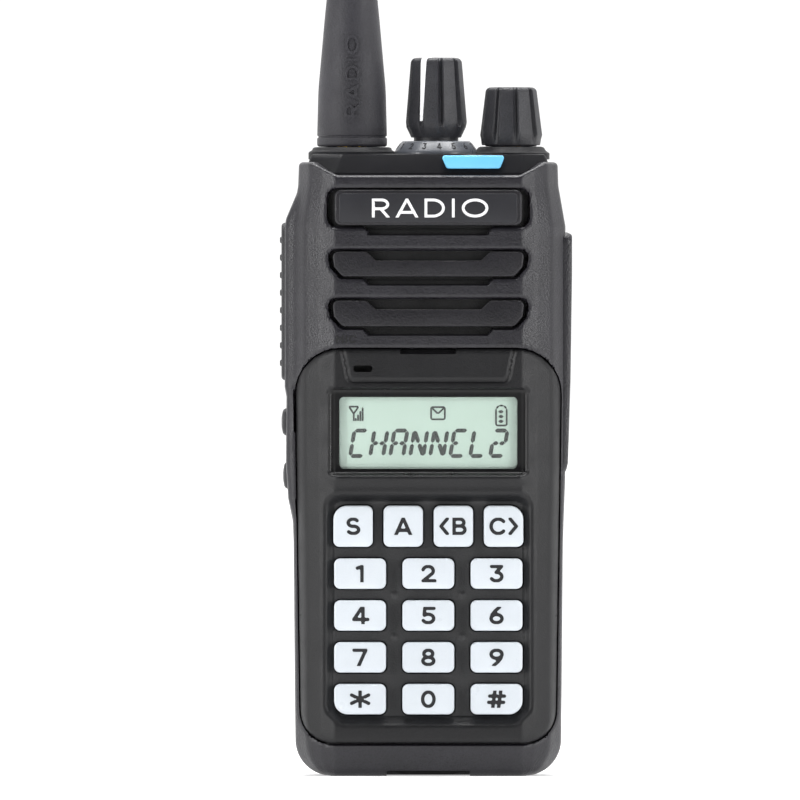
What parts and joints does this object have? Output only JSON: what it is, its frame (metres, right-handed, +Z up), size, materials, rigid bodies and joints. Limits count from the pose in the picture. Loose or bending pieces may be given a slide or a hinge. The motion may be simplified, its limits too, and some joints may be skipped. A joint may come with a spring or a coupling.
{
  "type": "two way radio",
  "caption": "Handheld two way radio with a whip antenna, two rotary controls, a display, a keypad, side keys and a slide-off battery pack that carries a sprung belt clip.",
  "frame": {"origin": "centre of the base that the radio stands on", "axes": "+Z up along the antenna; -Y out of the front face with the display and keypad; +X to the right of someone looking at that face"},
  "size_m": [0.0574, 0.0406, 0.28],
  "materials": {
    "case": "moulded plastic with a fine spark-eroded grain",
    "panel": "satin black moulded plastic, flat and neutral",
    "cover": "smooth semi-gloss black plastic",
    "battery": "grained moulded plastic, a shade darker than the front",
    "clip": "satin moulded plastic",
    "rubber": "matt moulded rubber",
    "antenna": "matt over-moulded rubber, slightly dusty",
    "knob": "matt soft-touch plastic, edges rubbed a little lighter",
    "dial": "grey moulded ring with small pale numbers",
    "key": "pale translucent silicone with a hard satin face",
    "window": "clear gloss window",
    "display": "pale green reflective display",
    "lamp": "clear sky-blue lens",
    "chassis": "die-cast aluminium, black coated where it shows",
    "board": "solder-masked board",
    "speaker_cone": "pressed mylar cone",
    "steel": "nickel-plated steel",
    "brass": "plated brass",
    "contacts": "gold-plated spring contacts",
    "cell": "shrink-wrapped lithium cell block"
  },
  "bodies": {
    "radio": {"front_case": "case", "front_panel": "panel", "name_plate": "panel", "grille_bar_upper": "case", "grille_bar_lower": "case", "speaker_frame": "steel", "speaker_cone": "speaker_cone", "microphone": "steel", "display_window": "window", "lcd_module": "display", "keypad_mat": "rubber", "keypad_board": "board", "main_board": "board", "chassis": "chassis", "top_cover": "cover", "status_lens": "lamp", "channel_ring": "dial", "channel_switch": "steel", "volume_switch": "steel", "antenna_socket": "brass", "jack_block": "panel"},
    "antenna": {"antenna_sheath": "antenna", "antenna_connector": "brass", "antenna_coil": "steel"},
    "channel_control": {"channel_knob": "knob", "channel_shaft": "brass"},
    "volume_control": {"volume_knob": "knob", "volume_shaft": "brass"},
    "ptt_button": {"ptt_button": "rubber"},
    "side_key_upper": {"side_key_upper": "rubber"},
    "side_key_lower": {"side_key_lower": "rubber"},
    "jack_cover": {"jack_cover": "case"},
    "jack_screw": {"jack_screw": "steel"},
    "battery": {"battery_case": "battery", "battery_lid": "battery", "battery_cell": "cell", "battery_contacts": "contacts", "clip_bracket": "case", "clip_pin": "steel", "clip_spring": "steel", "clip_screw_left": "steel", "clip_screw_right": "steel"},
    "battery_latch": {"battery_latch": "panel"},
    "belt_clip": {"belt_clip": "clip"},
    "key_s": {"key_s": "key"},
    "key_a": {"key_a": "key"},
    "key_b": {"key_b": "key"},
    "key_c": {"key_c": "key"},
    "key_1": {"key_1": "key"},
    "key_2": {"key_2": "key"},
    "key_3": {"key_3": "key"},
    "key_4": {"key_4": "key"},
    "key_5": {"key_5": "key"},
    "key_6": {"key_6": "key"},
    "key_7": {"key_7": "key"},
    "key_8": {"key_8": "key"},
    "key_9": {"key_9": "key"},
    "key_star": {"key_star": "key"},
    "key_0": {"key_0": "key"},
    "key_hash": {"key_hash": "key"}
  },
  "joints": [
    {"name": "antenna_turn", "type": "hinge", "parent": "radio", "child": "antenna", "pos_m": [-0.015, -0.0045, 0.1238], "axis": [0, 0, 1], "continuous": true},
    {"name": "channel_turn", "type": "hinge", "parent": "radio", "child": "channel_control", "pos_m": [0.0015, -0.0045, 0.1252], "axis": [0, 0, -1], "range_deg": [0, 337.5]},
    {"name": "volume_turn", "type": "hinge", "parent": "radio", "child": "volume_control", "pos_m": [0.0163, -0.0045, 0.1241], "axis": [0, 0, -1], "range_deg": [0, 270]},
    {"name": "ptt_press", "type": "slide", "parent": "radio", "child": "ptt_button", "axis": [1, 0, 0], "range_m": [0, 0.0007], "stiffness_N_per_m": 100, "springref_m": -0.0005},
    {"name": "side_key_upper_press", "type": "slide", "parent": "radio", "child": "side_key_upper", "axis": [1, 0, 0], "range_m": [0, 0.0005], "stiffness_N_per_m": 40, "springref_m": -0.0003},
    {"name": "side_key_lower_press", "type": "slide", "parent": "radio", "child": "side_key_lower", "axis": [1, 0, 0], "range_m": [0, 0.0005], "stiffness_N_per_m": 40, "springref_m": -0.0003},
    {"name": "jack_cover_swing", "type": "hinge", "parent": "radio", "child": "jack_cover", "pos_m": [0.0272, -0.00725, 0.1069], "axis": [0, -1, 0], "range_deg": [0, 60]},
    {"name": "jack_screw_turn", "type": "hinge", "parent": "jack_cover", "child": "jack_screw", "pos_m": [0.0272, -0.0074, 0.067], "axis": [-1, 0, 0], "continuous": true},
    {"name": "battery_slide", "type": "slide", "parent": "radio", "child": "battery", "axis": [0, 0, -1], "range_m": [0, 0.03]},
    {"name": "battery_latch_slide", "type": "slide", "parent": "battery", "child": "battery_latch", "axis": [0, 1, 0], "range_m": [0, 0.0015], "stiffness_N_per_m": 50, "springref_m": -0.001},
    {"name": "belt_clip_open", "type": "hinge", "parent": "battery", "child": "belt_clip", "pos_m": [0, 0.017, 0.072], "axis": [1, 0, 0], "range_deg": [0, 11], "stiffness_Nm_per_rad": 0.05, "springref_deg": -11.46},
    {"name": "key_s_press", "type": "slide", "parent": "radio", "child": "key_s", "axis": [0, 1, 0], "range_m": [0, 0.0005], "stiffness_N_per_m": 40, "springref_m": -0.0003},
    {"name": "key_a_press", "type": "slide", "parent": "radio", "child": "key_a", "axis": [0, 1, 0], "range_m": [0, 0.0005], "stiffness_N_per_m": 40, "springref_m": -0.0003},
    {"name": "key_b_press", "type": "slide", "parent": "radio", "child": "key_b", "axis": [0, 1, 0], "range_m": [0, 0.0005], "stiffness_N_per_m": 40, "springref_m": -0.0003},
    {"name": "key_c_press", "type": "slide", "parent": "radio", "child": "key_c", "axis": [0, 1, 0], "range_m": [0, 0.0005], "stiffness_N_per_m": 40, "springref_m": -0.0003},
    {"name": "key_1_press", "type": "slide", "parent": "radio", "child": "key_1", "axis": [0, 1, 0], "range_m": [0, 0.0005], "stiffness_N_per_m": 40, "springref_m": -0.0003},
    {"name": "key_2_press", "type": "slide", "parent": "radio", "child": "key_2", "axis": [0, 1, 0], "range_m": [0, 0.0005], "stiffness_N_per_m": 40, "springref_m": -0.0003},
    {"name": "key_3_press", "type": "slide", "parent": "radio", "child": "key_3", "axis": [0, 1, 0], "range_m": [0, 0.0005], "stiffness_N_per_m": 40, "springref_m": -0.0003},
    {"name": "key_4_press", "type": "slide", "parent": "radio", "child": "key_4", "axis": [0, 1, 0], "range_m": [0, 0.0005], "stiffness_N_per_m": 40, "springref_m": -0.0003},
    {"name": "key_5_press", "type": "slide", "parent": "radio", "child": "key_5", "axis": [0, 1, 0], "range_m": [0, 0.0005], "stiffness_N_per_m": 40, "springref_m": -0.0003},
    {"name": "key_6_press", "type": "slide", "parent": "radio", "child": "key_6", "axis": [0, 1, 0], "range_m": [0, 0.0005], "stiffness_N_per_m": 40, "springref_m": -0.0003},
    {"name": "key_7_press", "type": "slide", "parent": "radio", "child": "key_7", "axis": [0, 1, 0], "range_m": [0, 0.0005], "stiffness_N_per_m": 40, "springref_m": -0.0003},
    {"name": "key_8_press", "type": "slide", "parent": "radio", "child": "key_8", "axis": [0, 1, 0], "range_m": [0, 0.0005], "stiffness_N_per_m": 40, "springref_m": -0.0003},
    {"name": "key_9_press", "type": "slide", "parent": "radio", "child": "key_9", "axis": [0, 1, 0], "range_m": [0, 0.0005], "stiffness_N_per_m": 40, "springref_m": -0.0003},
    {"name": "key_star_press", "type": "slide", "parent": "radio", "child": "key_star", "axis": [0, 1, 0], "range_m": [0, 0.0005], "stiffness_N_per_m": 40, "springref_m": -0.0003},
    {"name": "key_0_press", "type": "slide", "parent": "radio", "child": "key_0", "axis": [0, 1, 0], "range_m": [0, 0.0005], "stiffness_N_per_m": 40, "springref_m": -0.0003},
    {"name": "key_hash_press", "type": "slide", "parent": "radio", "child": "key_hash", "axis": [0, 1, 0], "range_m": [0, 0.0005], "stiffness_N_per_m": 40, "springref_m": -0.0003}
  ]
}
